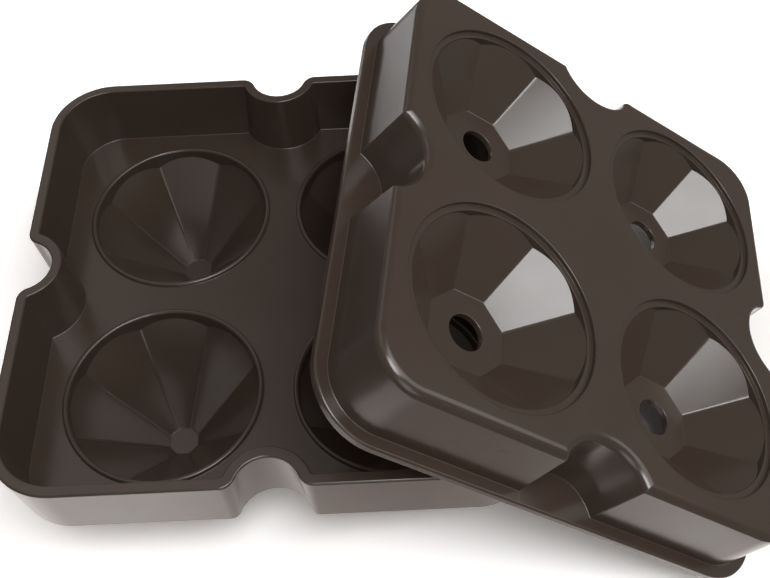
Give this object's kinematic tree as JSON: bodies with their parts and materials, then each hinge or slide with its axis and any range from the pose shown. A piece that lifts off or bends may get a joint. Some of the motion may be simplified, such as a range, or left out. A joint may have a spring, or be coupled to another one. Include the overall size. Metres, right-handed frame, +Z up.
{
  "type": "ice cube mold",
  "caption": "Silicone ice mold for faceted, brilliant-cut stones: a deep tray of cavities with finger notches, and a flanged upper half with fill holes that leans on it, face up.",
  "frame": {"origin": "on the table, under the middle of the rectangle that the tray and the leaning upper half cover", "axes": "+X from the tray towards the leaning upper half, +Y to the back, +Z up"},
  "size_m": [0.2197, 0.1539, 0.0942],
  "materials": {
    "silicone": "satin"
  },
  "bodies": {
    "tray": {"lower_tray": "silicone"},
    "upper": {"upper_half": "silicone"}
  },
  "joints": [
    {"name": "lift_off", "type": "slide", "parent": "tray", "child": "upper", "axis": [0.5552, -0.0679, 0.829], "range_m": [0, 0.12]}
  ]
}
